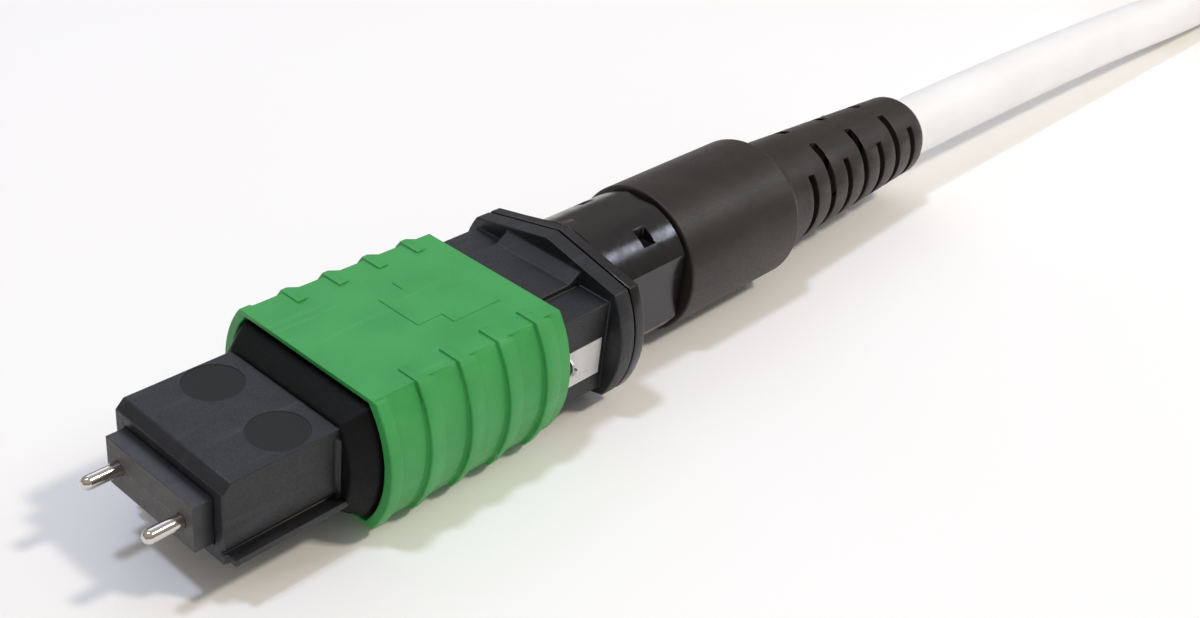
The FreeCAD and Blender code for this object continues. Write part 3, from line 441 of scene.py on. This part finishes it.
made = {node: softened(node, look) for node, look in softSet.items()}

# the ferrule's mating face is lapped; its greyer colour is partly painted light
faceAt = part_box("mt_ferrule")[0].y
for face in made["mt_ferrule"].data.polygons:
    face.material_index = 1 if face.normal.y < -0.99 and face.center.y < faceAt + 0.05 * mm else 0
print("softened pieces done")

# black oval collar of the housing, which fills the sleeve's mouth round the nose; its extra-dark black is
# painted shade
collarSet = {"front": -1.2, "full": -0.1, "back": 3.6, "nose": 4.78, "wide": 5.42, "noseFlat": 2.5,
             "flat": 3.16, "round": 0.12, "sides": 72, "roundOver": 20, "smooth": 40}


def mouthCollar():
    bpy.ops.object.select_all(action="DESELECT")
    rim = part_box("coupling_sleeve")
    mouth, middle = rim[0].y, (rim[0].z + rim[1].z) / 2
    long = (collarSet["back"] - collarSet["full"]) * mm
    bpy.ops.mesh.primitive_cylinder_add(vertices=collarSet["sides"], radius=collarSet["wide"] * mm,
                                        depth=long, rotation=(math.pi / 2, 0, 0),
                                        location=(0, mouth + collarSet["full"] * mm + long / 2, middle))
    piece = bpy.context.object
    piece.name = "mouthCollar"
    bpy.ops.object.transform_apply(location=True, rotation=True, scale=True)
    bpy.ops.object.mode_set(mode="EDIT")
    for way in (1, -1):
        bpy.ops.mesh.select_all(action="SELECT")
        bpy.ops.mesh.bisect(plane_co=(0, 0, middle + way * collarSet["flat"] * mm), plane_no=(0, 0, way),
                            use_fill=True, clear_outer=True)
    bpy.ops.mesh.select_all(action="DESELECT")
    bpy.ops.object.mode_set(mode="OBJECT")
    for face in piece.data.polygons:
        face.select = face.normal.y < -0.9
    bpy.ops.object.mode_set(mode="EDIT")
    narrow, low = collarSet["nose"] / collarSet["wide"], collarSet["noseFlat"] / collarSet["flat"]
    bpy.ops.mesh.extrude_region_move(
        TRANSFORM_OT_translate={"value": (0, (collarSet["front"] - collarSet["full"]) * mm, 0)})
    bpy.ops.transform.resize(value=(narrow, 1, low))
    bpy.ops.mesh.select_all(action="SELECT")
    bpy.ops.mesh.normals_make_consistent(inside=False)
    bpy.ops.object.mode_set(mode="OBJECT")
    bpy.ops.object.modifier_add(type="BEVEL")
    piece.modifiers[-1].width = collarSet["round"] * mm
    piece.modifiers[-1].segments = 3
    piece.modifiers[-1].angle_limit = math.radians(collarSet["roundOver"])
    bpy.ops.object.modifier_apply(modifier=piece.modifiers[-1].name)
    bpy.ops.object.shade_smooth_by_angle(angle=math.radians(collarSet["smooth"]))
    # the collar's darker black is painted shade for the inside of the sleeve's mouth
    piece.data.materials.append(collarShadeBlack)
    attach(piece, "housing")
    return piece


mouthCollar()
print("mouth collar done")

finishes = {"guide_pin_left": pinSteel, "guide_pin_right": pinSteel, "fibre_one_mark": markInk,
            "pin_clamp": housingBlack, "ferrule_boot": bootRubber, "crimp_ring": crimpMetal,
            "window_epoxy": windowAmber, "fibre_ribbon": ribbonCoat, "aramid_yarn": aramidStraw,
            "ferrule_spring": wireSteel, "coupling_spring_left": wireSteel,
            "coupling_spring_right": wireSteel}
for node, material in finishes.items():
    nodes[node].data.materials.clear()
    nodes[node].data.materials.append(material)
print("finishes done")

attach(cable, "housing")
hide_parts("cable_lead", "cable_hank")


# floor
floorSet = {"size": 2400, "dark": "#f8f7f6", "light": "#fbfbfb", "cloud": 40}


def layFloor():
    bpy.ops.object.select_all(action="DESELECT")
    bpy.ops.mesh.primitive_plane_add(size=floorSet["size"] * mm, location=(0, 0, 0))
    piece = bpy.context.object
    piece.name = "tableTop"
    material = newMaterial("matWhiteBoard")
    tree = material.node_tree
    place = addNode(tree, "ShaderNodeTexCoord").outputs["Object"]
    cloud = addNode(tree, "ShaderNodeTexNoise", {"Scale": 1 / (floorSet["cloud"] * mm), "Detail": 1.0},
                    {"Vector": place})
    colour = addNode(tree, "ShaderNodeMix", {"A": srgb(floorSet["dark"]), "B": srgb(floorSet["light"])},
                     {"Factor": cloud.outputs["Fac"]}, {"data_type": "RGBA"})
    shader = addNode(tree, "ShaderNodeBsdfPrincipled", {"Roughness": 0.8, "Specular IOR Level": 0.1},
                     {"Base Color": colour.outputs["Result"]})
    addNode(tree, "ShaderNodeOutputMaterial", links={"Surface": shader.outputs["BSDF"]})
    piece.data.materials.append(material)


# a warm lamp on the right, a cool one high in front, and two dim panels behind that show in the gloss
lampSet = [
    {"name": "warmLamp", "from": (0.51, 0.29, 0.81), "far": 500, "size": 50,
     "watts": 0.95, "colour": "#fff2dd"},
    {"name": "coolLamp", "from": (-0.12, -0.28, 0.95), "far": 500, "size": 50,
     "watts": 0.78, "colour": "#dde8ff"},
    {"name": "windowPanel", "from": (-0.64, 0.34, 0.69), "far": 700, "size": 360,
     "watts": 0.52, "colour": "#d5e2ff"},
    {"name": "backLamp", "from": (0.36, 0.71, 0.60), "far": 600, "size": 110,
     "watts": 0.36, "colour": "#e4ecff"},
]


def hangLamps():
    for lamp in lampSet:
        place = Vector(lamp["from"]).normalized() * lamp["far"] * mm
        bpy.ops.object.light_add(type="AREA", location=place)
        light = bpy.context.object
        light.name = lamp["name"]
        light.data.size = lamp["size"] * mm
        light.data.energy = lamp["watts"]
        light.data.color = srgb(lamp["colour"])[:3]
        light.rotation_euler = (-place).to_track_quat("-Z", "Y").to_euler()


# the room is brighter overhead than at the walls; the camera sees plain white behind
roomSet = {"wall": "#857f77", "ceiling": "#b9b6b2", "strength": 1.0}


def lightRoom():
    sky = bpy.data.worlds.new("plainRoom")
    bpy.context.scene.world = sky
    sky.use_nodes = True
    tree = sky.node_tree
    tree.nodes.clear()
    direction = addNode(tree, "ShaderNodeTexCoord").outputs["Generated"]
    height = addNode(tree, "ShaderNodeSeparateXYZ", links={"Vector": direction}).outputs["Z"]
    climb = addNode(tree, "ShaderNodeMapRange", {"From Min": 0.0, "From Max": 0.8}, {"Value": height})
    tint = addNode(tree, "ShaderNodeMix", {"A": srgb(roomSet["wall"]), "B": srgb(roomSet["ceiling"])},
                   {"Factor": climb.outputs["Result"]}, {"data_type": "RGBA"})
    room = addNode(tree, "ShaderNodeBackground", {"Strength": roomSet["strength"]},
                   {"Color": tint.outputs["Result"]})
    seen = addNode(tree, "ShaderNodeBackground", {"Color": (1, 1, 1, 1), "Strength": 1.0})
    path = addNode(tree, "ShaderNodeLightPath")
    mix = addNode(tree, "ShaderNodeMixShader", {}, {"Fac": path.outputs["Is Camera Ray"],
                  1: room.outputs["Background"], 2: seen.outputs["Background"]})
    addNode(tree, "ShaderNodeOutputWorld", links={"Surface": mix.outputs["Shader"]})


layFloor()
hangLamps()
lightRoom()
print("floor and light done")
